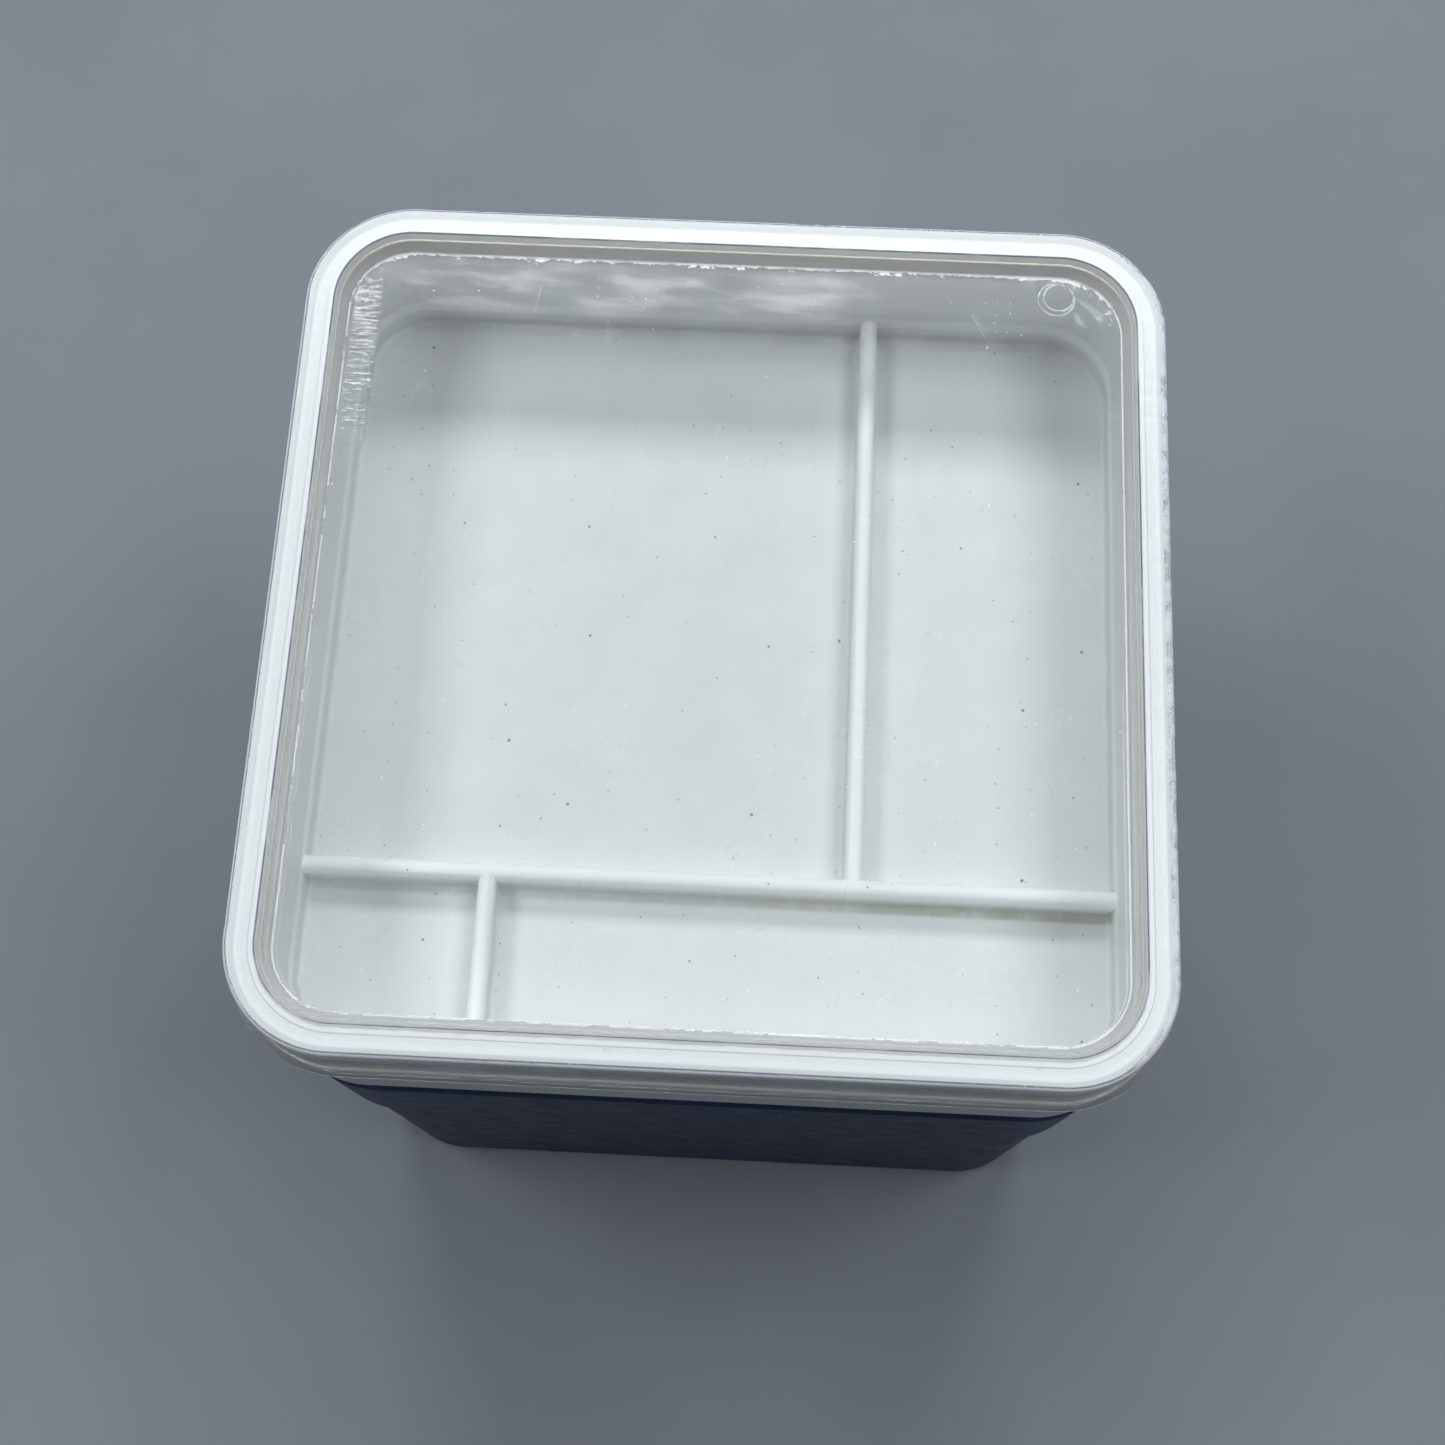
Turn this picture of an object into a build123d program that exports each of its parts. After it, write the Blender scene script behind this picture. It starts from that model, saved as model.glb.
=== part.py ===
from build123d import *
import os

# Wet palette: a square stack of a water basin, a sponge tray and a palette tray under a clear lid.
# Millimetres, +Z up. The origin is the middle of the footprint, on the surface that the feet stand on.
# Every tier is a rounded square, and all its corners turn about the same four vertical lines.

# Widths, as half the side of a rounded square
TIER_HALF = 60.0
NECK_HALF = TIER_HALF - 1.1
CAVITY_HALF = NECK_HALF - 2.0
BASIN_HALF = TIER_HALF - 0.8
CORNER_CENTRE = 45.4
SLIDE_GAP = 0.2
SHOULDER_ROUND = 0.5
MOULD_OVERLAP = 1.0

# Heights of the stack, from the feet up
FOOT_HEIGHT = 1.2
BASIN_SHOULDER = 72.2
BASIN_RIM = 77.2
SPONGE_SKIRT = 72.4
SPONGE_SHOULDER = 97.5
SPONGE_RIM = 105.0
TRAY_SKIRT = 103.0
TRAY_SHOULDER = 121.6
TRAY_RIM = 130.5
LID_TOP = 132.0

# Water basin
BASIN_FLOOR = 2.4
BASIN_EDGE = 3.0
GUIDE_THICKNESS = 1.4
GUIDE_DEPTH = 2.0
GUIDE_TOP = 60.0

# Lift-out divider: one plate across the basin and one from it to the back wall
DIVIDER_THICKNESS = 1.8
DIVIDER_TOP = 68.0
DIVIDER_Y = 6.0
DIVIDER_GAP = 0.4
DIVIDER_CORNER = 5.0
NOTCH_WIDTH = 22.0
NOTCH_HEIGHT = 18.0

# Ribbed plate on the basin's floor
GRID_LENGTH = 96.0
GRID_WIDTH = 48.0
GRID_CORNER = 8.0
GRID_PLATE = 1.6
GRID_RIB_HEIGHT = 3.0
GRID_RIB_WIDTH = 1.5
GRID_PITCH = 5.0
GRID_Y = -25.5

# Sponge tray, its sponge and the sheet on it
SPONGE_TRAY_FLOOR = 2.2
SPONGE_TRAY_CORNER = 0.8
SPONGE_HALF = 56.0
SPONGE_THICKNESS = 12.0
SHEET_HALF = 54.5
SHEET_THICKNESS = 0.3
SHEET_CORNER = 6.0
REST_GAP = 0.1

# Rings in the necks
SEAL_WIDTH = 0.9
SEAL_DEPTH = 0.9
SEAL_MIDDLE = (NECK_HALF + CAVITY_HALF) / 2

# Palette tray
WELL_HALF = 55.8
WELL_FLOOR = 106.8
WELL_CORNER = 1.5
RIDGE_WIDTH = 2.4
RIDGE_HEIGHT = 5.2
LONG_RIDGE_Y = -31.2
BACK_RIDGE_X = 19.9
FRONT_RIDGE_X = -30.3
REBATE_HALF = 57.1
REBATE_Z = 129.3

# Clear lid
LID_WALL = 1.5
PANEL_HALF = 54.3
PANEL_TOP = 129.1
RIM_INNER_HALF = 56.0
PLUG_HALF = 55.5
SKIRT_LOW_HALF = 60.3
SKIRT_LOW_Z = 123.6
LIP_HALF = 61.4
LIP_TOP = 122.9
LIP_BOTTOM = 122.0
LIP_ROUND = 0.4
LID_EDGE = 0.6
RECESS_ROUND = 0.4
SKIRT_DRAFT = 0.25
PIN_MARK = (45.8, 51.4)
PIN_MARK_RADIUS = 2.2
PIN_MARK_WALL = 0.3
PIN_MARK_HEIGHT = 0.12

# Rubber feet
FOOT_RADIUS = 6.0
FOOT_PLACE = 42.0
FOOT_ROUND = 0.4


def rounded(half, corner=None):
    """A rounded square outline in the XY plane."""
    radius = half - CORNER_CENTRE if corner is None else corner
    return RectangleRounded(2 * half, 2 * half, radius)


def slab(half, low, high, corner=None):
    """A rounded square block between two heights."""
    return Pos(0, 0, low) * extrude(rounded(half, corner), high - low)


def tapered(half_low, low, half_high, high):
    """A rounded square block whose sides slope."""
    outlines = [Pos(0, 0, low) * rounded(half_low), Pos(0, 0, high) * rounded(half_high)]
    return loft(outlines, ruled=True)


def frame_ring(inner, outer, low, high):
    """A rounded square ring."""
    return slab(outer, low, high) - slab(inner, low, high)


def edges_at(shape, height):
    """The edges of a shape that lie level at one height."""
    return shape.edges().filter_by_position(Axis.Z, height, height)


def seal_ring(low, high):
    """A square ring along the middle of a neck's wall."""
    return frame_ring(SEAL_MIDDLE - SEAL_WIDTH / 2, SEAL_MIDDLE + SEAL_WIDTH / 2, low, high)


def seal_groove(rim):
    """The groove in the top of a neck that a seal lies in."""
    return seal_ring(rim - SEAL_DEPTH - REST_GAP, rim)


def neck_seal(rim):
    """A seal that lies in the groove of a neck, just below its rim."""
    return seal_ring(rim - SEAL_DEPTH - REST_GAP, rim - REST_GAP)


def guide_pair():
    """Two upright ribs that hold the end of a divider plate, on the wall at +X."""
    length = GUIDE_DEPTH + MOULD_OVERLAP
    height = GUIDE_TOP - FOOT_HEIGHT - BASIN_FLOOR
    spacing = DIVIDER_THICKNESS / 2 + DIVIDER_GAP / 2 + GUIDE_THICKNESS / 2
    x = CAVITY_HALF - GUIDE_DEPTH + length / 2
    z = FOOT_HEIGHT + BASIN_FLOOR + height / 2
    ribs = [Pos(x, side * spacing, z) * Box(length, GUIDE_THICKNESS, height) for side in (-1, 1)]
    return ribs[0] + ribs[1]


def water_basin():
    """The lowest tier: a deep box with a neck, a seal groove and guides for the divider."""
    body = slab(BASIN_HALF, FOOT_HEIGHT, BASIN_SHOULDER)
    body += slab(NECK_HALF, BASIN_SHOULDER, BASIN_RIM)
    body = fillet(edges_at(body, FOOT_HEIGHT), BASIN_EDGE)
    cavity = slab(CAVITY_HALF, FOOT_HEIGHT + BASIN_FLOOR, BASIN_RIM)
    cavity = fillet(edges_at(cavity, FOOT_HEIGHT + BASIN_FLOOR), BASIN_EDGE)
    body = body - cavity - seal_groove(BASIN_RIM)
    body += Pos(0, DIVIDER_Y, 0) * guide_pair()
    body += Pos(0, DIVIDER_Y, 0) * (Rot(0, 0, 180) * guide_pair())
    body += Rot(0, 0, 90) * guide_pair()
    return body


def basin_divider():
    """Two upright plates in a T, with a finger notch in the long one."""
    low = FOOT_HEIGHT + BASIN_FLOOR
    height = DIVIDER_TOP - low
    middle = (low + DIVIDER_TOP) / 2
    reach_out = CAVITY_HALF - DIVIDER_GAP
    outline = Pos(0, middle) * Rectangle(2 * reach_out, height)
    outline = chamfer(outline.vertices().group_by(Axis.Y)[0], DIVIDER_CORNER)
    notch = Pos(0, DIVIDER_TOP) * SlotOverall(NOTCH_WIDTH, NOTCH_HEIGHT)
    long_plate = extrude(Plane.XZ * (outline - notch), DIVIDER_THICKNESS / 2, both=True)
    short_length = reach_out - DIVIDER_Y
    side = Pos(DIVIDER_Y + short_length / 2, middle) * Rectangle(short_length, height)
    side = chamfer(side.vertices().group_by(Axis.Y)[0].sort_by(Axis.X)[-1], DIVIDER_CORNER)
    side = side - Pos(DIVIDER_Y, DIVIDER_TOP) * SlotOverall(NOTCH_WIDTH, NOTCH_HEIGHT)
    short_plate = extrude(Plane.YZ * side, DIVIDER_THICKNESS / 2, both=True)
    return Pos(0, DIVIDER_Y, 0) * long_plate + short_plate


def scrub_grid():
    """A ribbed plate that lies on the floor of the front compartment."""
    low = FOOT_HEIGHT + BASIN_FLOOR
    plate = Pos(0, GRID_Y, low) * extrude(RectangleRounded(GRID_LENGTH, GRID_WIDTH, GRID_CORNER), GRID_PLATE)
    count = int((GRID_LENGTH - 2 * GRID_CORNER) / GRID_PITCH) + 1
    for place in GridLocations(GRID_PITCH, 0, count, 1):
        rib = Box(GRID_RIB_WIDTH, GRID_WIDTH - GRID_CORNER, GRID_RIB_HEIGHT)
        plate += Pos(0, GRID_Y, low + GRID_PLATE + GRID_RIB_HEIGHT / 2) * (place * rib)
    return plate


def sponge_tray():
    """The middle tier: a shallow tray whose skirt goes over the basin's neck."""
    body = slab(TIER_HALF, SPONGE_SKIRT, SPONGE_SHOULDER)
    body = fillet(edges_at(body, SPONGE_SHOULDER), SHOULDER_ROUND)
    body += slab(NECK_HALF, SPONGE_SHOULDER - MOULD_OVERLAP, SPONGE_RIM)
    cavity = slab(CAVITY_HALF, BASIN_RIM + SPONGE_TRAY_FLOOR, SPONGE_RIM)
    cavity = fillet(edges_at(cavity, BASIN_RIM + SPONGE_TRAY_FLOOR), SPONGE_TRAY_CORNER)
    body = body - cavity - seal_groove(SPONGE_RIM)
    return body - slab(NECK_HALF + SLIDE_GAP, SPONGE_SKIRT, BASIN_RIM)


def sponge_pad():
    """The sponge that fills the bottom of the sponge tray."""
    low = BASIN_RIM + SPONGE_TRAY_FLOOR + REST_GAP
    return slab(SPONGE_HALF, low, low + SPONGE_THICKNESS)


def palette_sheet():
    """The membrane sheet that lies on the sponge."""
    low = BASIN_RIM + SPONGE_TRAY_FLOOR + REST_GAP + SPONGE_THICKNESS + REST_GAP
    return slab(SHEET_HALF, low, low + SHEET_THICKNESS, SHEET_CORNER)


def ridge(x_low, y_low, x_high, y_high):
    """A low bar with a round top between two points of the tray's floor, along X or along Y."""
    along_x = x_high - x_low > y_high - y_low
    length = max(x_high - x_low, y_high - y_low)
    height = RIDGE_HEIGHT - RIDGE_WIDTH / 2
    bar = Pos(0, 0, height / 2) * Box(length, RIDGE_WIDTH, height)
    bar += Pos(0, 0, height) * (Rot(0, 90, 0) * Cylinder(RIDGE_WIDTH / 2, length))
    turn = 0 if along_x else 90
    return Pos((x_low + x_high) / 2, (y_low + y_high) / 2, WELL_FLOOR) * (Rot(0, 0, turn) * bar)


def palette_tray():
    """The white tray: four wells between moulded ridges, over a skirt that fits the neck below."""
    body = slab(TIER_HALF, TRAY_SKIRT, TRAY_SHOULDER)
    body = fillet(edges_at(body, TRAY_SHOULDER), SHOULDER_ROUND)
    body += slab(NECK_HALF, TRAY_SHOULDER - MOULD_OVERLAP, TRAY_RIM)
    well = slab(WELL_HALF, WELL_FLOOR, TRAY_RIM)
    well = fillet(edges_at(well, WELL_FLOOR), WELL_CORNER)
    body = body - well - slab(REBATE_HALF, REBATE_Z, TRAY_RIM)
    body = body - slab(NECK_HALF + SLIDE_GAP, TRAY_SKIRT, SPONGE_RIM)
    end = WELL_HALF + MOULD_OVERLAP
    body += ridge(-end, LONG_RIDGE_Y, end, LONG_RIDGE_Y)
    body += ridge(BACK_RIDGE_X, LONG_RIDGE_Y, BACK_RIDGE_X, end)
    body += ridge(FRONT_RIDGE_X, -end, FRONT_RIDGE_X, LONG_RIDGE_Y)
    return body


def clear_lid():
    """The lid: a raised rim, a recessed panel that plugs into the tray, and a skirt with a flared lip."""
    body = tapered(SKIRT_LOW_HALF, SKIRT_LOW_Z, TIER_HALF, LID_TOP)
    body = fillet(edges_at(body, LID_TOP), LID_EDGE)
    body += tapered(LIP_HALF, LIP_TOP, SKIRT_LOW_HALF, SKIRT_LOW_Z)
    body += slab(LIP_HALF, LIP_BOTTOM + LIP_ROUND, LIP_TOP)
    body += tapered(LIP_HALF - LIP_ROUND, LIP_BOTTOM, LIP_HALF, LIP_BOTTOM + LIP_ROUND)
    inner_half = NECK_HALF + SLIDE_GAP
    body -= tapered(inner_half + SKIRT_DRAFT, LIP_BOTTOM, inner_half, TRAY_RIM)
    body += slab(PLUG_HALF, PANEL_TOP - LID_WALL, TRAY_RIM)
    recess = tapered(PANEL_HALF, PANEL_TOP, RIM_INNER_HALF, LID_TOP)
    body -= fillet(edges_at(recess, PANEL_TOP), RECESS_ROUND)
    mark = Cylinder(PIN_MARK_RADIUS, PIN_MARK_HEIGHT)
    mark -= Cylinder(PIN_MARK_RADIUS - PIN_MARK_WALL, PIN_MARK_HEIGHT)
    body += Pos(*PIN_MARK, PANEL_TOP + PIN_MARK_HEIGHT / 2) * mark
    return body


def lid_seal():
    """The ring around the lid's plug, under its rim, in the rebate of the tray."""
    return frame_ring(PLUG_HALF, REBATE_HALF - REST_GAP, REBATE_Z + REST_GAP, TRAY_RIM)


def foot(x_side, y_side):
    """A round rubber foot under one corner of the basin."""
    place = Pos(x_side * FOOT_PLACE, y_side * FOOT_PLACE, FOOT_HEIGHT / 2)
    pad = place * Cylinder(FOOT_RADIUS, FOOT_HEIGHT)
    return fillet(pad.edges().group_by(Axis.Z)[0], FOOT_ROUND)


def main():
    os.makedirs("parts", exist_ok=True)
    parts = {
        "water_basin": water_basin(),
        "basin_divider": basin_divider(),
        "scrub_grid": scrub_grid(),
        "basin_seal": neck_seal(BASIN_RIM),
        "sponge_tray": sponge_tray(),
        "sponge_pad": sponge_pad(),
        "palette_sheet": palette_sheet(),
        "tray_seal": neck_seal(SPONGE_RIM),
        "palette_tray": palette_tray(),
        "lid_seal": lid_seal(),
        "clear_lid": clear_lid(),
    }
    for x_name, x_side in (("left", -1), ("right", 1)):
        for y_name, y_side in (("front", -1), ("back", 1)):
            parts[f"foot_{y_name}_{x_name}"] = foot(x_side, y_side)
    for name, shape in parts.items():
        export_step(shape, f"parts/{name}.step")


main()
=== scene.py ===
import math

import bmesh
import bpy
import numpy as np
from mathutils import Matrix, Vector, noise


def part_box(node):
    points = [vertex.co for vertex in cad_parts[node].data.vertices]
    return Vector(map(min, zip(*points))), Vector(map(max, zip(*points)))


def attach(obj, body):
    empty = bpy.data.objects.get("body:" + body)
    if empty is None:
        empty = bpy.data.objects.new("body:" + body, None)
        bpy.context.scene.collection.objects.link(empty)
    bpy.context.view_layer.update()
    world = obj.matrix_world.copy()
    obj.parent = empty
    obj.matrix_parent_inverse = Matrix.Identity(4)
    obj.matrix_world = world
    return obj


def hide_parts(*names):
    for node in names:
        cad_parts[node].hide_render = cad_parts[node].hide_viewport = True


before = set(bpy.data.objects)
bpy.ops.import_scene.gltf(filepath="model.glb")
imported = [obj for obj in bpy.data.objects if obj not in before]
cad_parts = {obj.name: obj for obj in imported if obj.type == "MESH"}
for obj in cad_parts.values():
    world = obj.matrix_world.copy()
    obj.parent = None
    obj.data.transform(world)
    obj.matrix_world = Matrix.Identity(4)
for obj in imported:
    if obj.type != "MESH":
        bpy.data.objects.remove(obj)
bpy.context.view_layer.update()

# Lengths are in millimetres up to the point where a mesh is made. Every tier is a rounded square, swept
# from a section of (half-width, height) points.
MM = 0.001


def box_mm(node):
    """Lowest and highest corner of a CAD node, in millimetres."""
    low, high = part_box(node)
    return low / MM, high / MM


# ---------------------------------------------------------------- sizes that several pieces share

# All the corners of every tier turn about the same four vertical lines.
CORNER_CENTRE = 45.4
# Half-width at which the flat floors and panels begin, inside every fillet.
DECK = 50.0
# Half-widths of the water basin's and the sponge tray's walls, necks and seal grooves.
CAVITY, NECK, SKIRT_INNER = 56.9, 58.9, 59.1
SEAL_IN, SEAL_OUT, SEAL_DROP = 57.45, 58.35, 1.0

# The palette tray: its well, the step that the lid plugs into, and its ridges.
WELL, WELL_FLOOR, REBATE, REBATE_Z = 55.8, 106.8, 57.1, 129.3
RIDGE_HALF, RIDGE_HEIGHT, RIDGE_FOOT = 1.2, 5.2, 0.7
LONG_RIDGE_Y, BACK_RIDGE_X, FRONT_RIDGE_X = -31.2, 19.9, -30.3

# The lid: its recessed panel, its raised rim, and the plug that the pale seal sits round.
PANEL, PANEL_TOP, PANEL_UNDER = 54.3, 129.1, 127.6
RIM_INNER, RIM_HALF, LID_PLUG = 56.0, 60.0, 55.5
LID_TOP = box_mm("clear_lid")[1].z

# ---------------------------------------------------------------- meshes

SIDE_STEPS, CORNER_STEPS = 60, 20


def arc(angle, steps):
    """Angles from 0 to angle, in radians."""
    return [angle * i / steps for i in range(steps + 1)]


def outline(half, radius=None, side_steps=SIDE_STEPS, corner_steps=CORNER_STEPS):
    """A rounded square as (x, y) points, anticlockwise from the front end of its right side."""
    r = half - CORNER_CENTRE if radius is None else radius
    flat = half - r
    side = [(half, -flat + 2 * flat * i / side_steps) for i in range(side_steps)]
    turn = arc(math.pi / 2, corner_steps)[:-1]
    quarter = np.array(side + [(flat + r * math.cos(a), flat + r * math.sin(a)) for a in turn])
    parts = []
    for _ in range(4):
        parts.append(quarter)
        quarter = np.stack([-quarter[:, 1], quarter[:, 0]], axis=1)
    return np.concatenate(parts)


def rounded(points, closed=False, steps=6):
    """A section's points (half, z, radius), with each corner rounded to its radius."""
    out = []
    for i, (h, z, radius) in enumerate(points):
        if radius <= 0 or (not closed and i in (0, len(points) - 1)):
            out.append((h, z))
            continue
        here = Vector((h, z))
        before = (Vector(points[i - 1][:2]) - here).normalized()
        after = (Vector(points[(i + 1) % len(points)][:2]) - here).normalized()
        half_angle = before.angle(after) / 2
        reach = radius / math.tan(half_angle)
        centre = here + (before + after).normalized() * (radius / math.sin(half_angle))
        start, end = here + before * reach - centre, here + after * reach - centre
        sweep_angle = start.angle(end)
        for k in range(steps + 1):
            t = k / steps
            a, b = math.sin((1 - t) * sweep_angle), math.sin(t * sweep_angle)
            point = centre + (start * a + end * b) / math.sin(sweep_angle)
            out.append((point.x, point.y))
    return out


def skin_points(section, side_steps=SIDE_STEPS, corner_steps=CORNER_STEPS):
    """Points of a section swept round the rounded square: section point, place along it, xyz."""
    rings = []
    for h, z in section:
        ring = outline(h, None, side_steps, corner_steps)
        rings.append(np.column_stack([ring, np.full(len(ring), z)]))
    return np.array(rings)


def strips(rows, around, loop=False):
    """Faces between each closed row of points and the next, and back to the first if loop."""
    faces = []
    for i in range(rows if loop else rows - 1):
        a, b = i * around, (i + 1) % rows * around
        for j in range(around):
            k = (j + 1) % around
            faces.append((a + j, a + k, b + k, b + j))
    return faces


def turned(profile, centre, steps):
    """Points of a profile of (radius, z) turned about an upright line, row by row."""
    x, y = centre
    angles = arc(2 * math.pi, steps)[:-1]
    return [(x + r * math.cos(a), y + r * math.sin(a), z) for r, z in profile for a in angles]


def new_object(name, points, faces):
    """An object from points in millimetres and faces, with its normals facing out."""
    mesh = bpy.data.meshes.new(name)
    mesh.from_pydata([tuple(p) for p in np.asarray(points, float) * MM], [], faces)
    work = bmesh.new()
    work.from_mesh(mesh)
    bmesh.ops.recalc_face_normals(work, faces=work.faces)
    work.to_mesh(mesh)
    work.free()
    made = bpy.data.objects.new(name, mesh)
    bpy.context.scene.collection.objects.link(made)
    return made


def skin(name, points, loop=False):
    """An object from skin points: a closed tube if loop, or else closed by a flat face at each end."""
    count, around = points.shape[:2]
    faces = strips(count, around, loop)
    if not loop:
        faces.append(tuple(range(around)))
        faces.append(tuple(range((count - 1) * around, count * around)))
    return new_object(name, points.reshape(-1, 3), faces)


def lathe(name, profile, centre, steps=72):
    """A turned solid from a profile of (radius, z), whose first and last radius are 0."""
    inner = profile[1:-1]
    points = turned(inner, centre, steps)
    faces = strips(len(inner), steps)
    for row, (_, z) in ((0, profile[0]), (len(inner) - 1, profile[-1])):
        points.append((*centre, z))
        for j in range(steps):
            faces.append((row * steps + j, row * steps + (j + 1) % steps, len(points) - 1))
    return new_object(name, points, faces)


def prism(name, shape, place, thickness):
    """A plate from a closed outline of (u, v). place turns (u, v, offset) into xyz."""
    count = len(shape)
    points = [place(u, v, side * thickness / 2) for side in (-1, 1) for u, v in shape]
    faces = [tuple(range(count)), tuple(range(count, 2 * count))]
    faces += [(i, (i + 1) % count, count + (i + 1) % count, count + i) for i in range(count)]
    return new_object(name, points, faces)


def rib(name, low, high, radius=0.3, segments=3):
    """An upright rib with rounded edges between two corners."""
    (x0, y0, z0), (x1, y1, z1) = low, high
    shape = [(x0, y0), (x1, y0), (x1, y1), (x0, y1)]
    middle = (z0 + z1) / 2
    made = prism(name, shape, lambda u, v, w: (u, v, middle + w), z1 - z0)
    return round_edges(made, radius, segments)


def bake(made):
    """Applies the object's modifiers."""
    depsgraph = bpy.context.evaluated_depsgraph_get()
    mesh = bpy.data.meshes.new_from_object(made.evaluated_get(depsgraph))
    made.modifiers.clear()
    made.data = mesh
    return made


def join_solids(made, *others):
    """Joins closed solids that overlap into one skin."""
    for other in others:
        change = made.modifiers.new("join", "BOOLEAN")
        change.operation, change.solver, change.object = "UNION", "EXACT", other
    bake(made)
    for other in others:
        bpy.data.objects.remove(other)
    return made


def round_edges(made, width, segments=3):
    """Rounds the sharp edges of an object."""
    change = made.modifiers.new("round", "BEVEL")
    change.width, change.segments = width * MM, segments
    change.limit_method, change.angle_limit = "ANGLE", math.radians(40)
    change.use_clamp_overlap = True
    return bake(made)


def smooth(made, angle=50):
    """Smooth shading, with flat faces kept flat and creases kept sharp."""
    for face in made.data.polygons:
        face.use_smooth = True
    made.data.set_sharp_from_angle(angle=math.radians(angle))
    change = made.modifiers.new("normals", "WEIGHTED_NORMAL")
    change.mode, change.weight, change.keep_sharp = "FACE_AREA", 60, True
    return bake(made)


def finish_piece(made, node, body, material):
    """Gives a piece its material in one slot and its body, and hides the CAD node that it stands for."""
    made.data.materials.clear()
    made.data.materials.append(material)
    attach(made, body)
    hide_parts(node)
    return made


def wobble(x, seed):
    """Smooth noise along a line, about -1 to 1."""
    return 2 * noise.noise(Vector((x, seed * 7.31, seed * 3.17)))


# ---------------------------------------------------------------- materials


class Nodes:
    """A material's nodes. A socket given as an input is linked, and a number is set on the socket."""

    def __init__(self, name):
        self.material = bpy.data.materials.new(name)
        self.material.use_nodes = True
        self.tree = self.material.node_tree
        self.tree.nodes.clear()
        self.output = self.tree.nodes.new("ShaderNodeOutputMaterial")
        self.place = self.tree.nodes.new("ShaderNodeTexCoord").outputs["Object"]

    def add(self, kind, inputs=(), **settings):
        node = self.tree.nodes.new(kind)
        for key, value in settings.items():
            setattr(node, key, value)
        for key, value in dict(inputs).items():
            self.put(node.inputs[key], value)
        return node

    def put(self, socket, value):
        if isinstance(value, bpy.types.NodeSocket):
            self.tree.links.new(value, socket)
        else:
            socket.default_value = value

    def math(self, operation, a, b=0.0, clamp=False):
        made = self.add("ShaderNodeMath", {0: a, 1: b}, operation=operation, use_clamp=clamp)
        return made.outputs[0]

    def vector(self, operation, a, b=(0, 0, 0)):
        made = self.add("ShaderNodeVectorMath", {0: a, 1: b}, operation=operation)
        return made.outputs["Value" if operation == "LENGTH" else "Vector"]

    def product(self, *values):
        total = values[0]
        for value in values[1:]:
            total = self.math("MULTIPLY", total, value)
        return total

    def most(self, *values):
        total = values[0]
        for value in values[1:]:
            total = self.math("MAXIMUM", total, value)
        return total

    def noise(self, size, detail=2.0, roughness=0.5, distortion=0.0, place=None):
        """Noise whose features are about size millimetres wide."""
        made = self.add("ShaderNodeTexNoise", {
            "Vector": place or self.place, "Scale": 1 / (size * MM), "Detail": detail,
            "Roughness": roughness, "Distortion": distortion})
        return made.outputs["Fac"]

    def stretched(self, angle, along, across, detail=2.0):
        """Streaky noise in the XY plane: its features are that long and wide, in millimetres."""
        turn = self.add("ShaderNodeMapping", {
            "Vector": self.place, "Rotation": (0, 0, math.radians(angle)),
            "Scale": (along * MM, across * MM, along * MM)}, vector_type="TEXTURE")
        made = self.add("ShaderNodeTexNoise", {
            "Vector": turn.outputs[0], "Scale": 1.0, "Detail": detail})
        return made.outputs["Fac"]

    def cells(self, size):
        """Distance to the middle of the nearest of irregular cells of about that size."""
        made = self.add("ShaderNodeTexVoronoi", {"Vector": self.place, "Scale": 1 / (size * MM)})
        return made.outputs["Distance"]

    def ramp(self, value, low, high, to_low=0.0, to_high=1.0, curve="SMOOTHSTEP"):
        made = self.add("ShaderNodeMapRange", {
            "Value": value, "From Min": low, "From Max": high, "To Min": to_low, "To Max": to_high},
            interpolation_type=curve)
        return made.outputs[0]

    def spread(self, fac, to_low=0.0, to_high=1.0):
        """Noise, most of which lies between 0.3 and 0.7, spread out to other limits."""
        return self.ramp(fac, 0.3, 0.7, to_low, to_high)

    def band(self, value, low, high, soft):
        """1 between low and high, falling to 0 over soft on each side."""
        up = self.ramp(value, low - soft, low)
        down = self.ramp(value, high, high + soft, 1.0, 0.0)
        return self.math("MULTIPLY", up, down)

    def colour(self, fac, first, second):
        made = self.add("ShaderNodeMix", data_type="RGBA")
        self.put(made.inputs["Factor"], fac)
        self.put(made.inputs[6], first)
        self.put(made.inputs[7], second)
        return made.outputs[2]

    def bump(self, height, strength, distance, normal=None):
        """Bump whose full height is distance millimetres."""
        inputs = {"Height": height, "Strength": strength, "Distance": distance * MM}
        if normal is not None:
            inputs["Normal"] = normal
        return self.add("ShaderNodeBump", inputs).outputs[0]

    def dots(self, cell, radius, share, seed=0.0):
        """Round dots on level surfaces: at most one in each cell, in that share of the cells."""
        moved = self.vector("ADD", self.place, (seed, seed * 0.7, 0))
        made = self.add("ShaderNodeTexVoronoi", {
            "Vector": moved, "Scale": 1 / (cell * MM), "Randomness": 0.9}, voronoi_dimensions="2D")
        parts = self.add("ShaderNodeSeparateColor", {"Color": made.outputs["Color"]})
        largest = radius / cell
        size = self.ramp(parts.outputs["Green"], 0, 1, 0.4 * largest, largest, "LINEAR")
        inside = self.math("LESS_THAN", made.outputs["Distance"], size)
        chosen = self.math("GREATER_THAN", parts.outputs["Red"], 1 - share)
        return self.math("MULTIPLY", inside, chosen)

    def axes(self):
        """The object's x, y and z in millimetres."""
        scaled = self.add("ShaderNodeVectorMath", {0: self.place, "Scale": 1 / MM}, operation="SCALE")
        parts = self.add("ShaderNodeSeparateXYZ", {0: scaled.outputs[0]})
        return parts.outputs["X"], parts.outputs["Y"], parts.outputs["Z"]

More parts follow.
